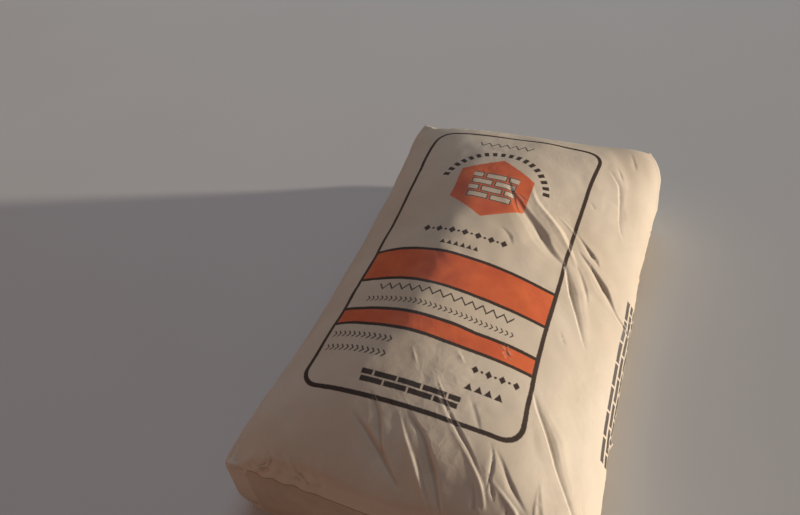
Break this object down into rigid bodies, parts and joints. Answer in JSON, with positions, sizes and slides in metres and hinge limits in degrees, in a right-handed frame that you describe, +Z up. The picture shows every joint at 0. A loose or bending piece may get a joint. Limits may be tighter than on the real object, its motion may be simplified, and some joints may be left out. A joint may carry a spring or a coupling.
{
  "type": "cement bag",
  "caption": "Full paper cement sack lying flat, with block-bottom ends pasted shut under a patch strip.",
  "frame": {"origin": "on the floor, under the middle of the bag", "axes": "+Z up, +Y along the bag's length towards the end with the round badge, +X to the right of someone standing at the near end"},
  "size_m": [0.4148, 0.657, 0.176],
  "materials": {
    "sack_paper": "satin",
    "patch_paper": "satin"
  },
  "bodies": {
    "root": {"sack": "sack_paper", "near_end_patch": "patch_paper", "far_end_patch": "patch_paper"}
  },
  "joints": []
}
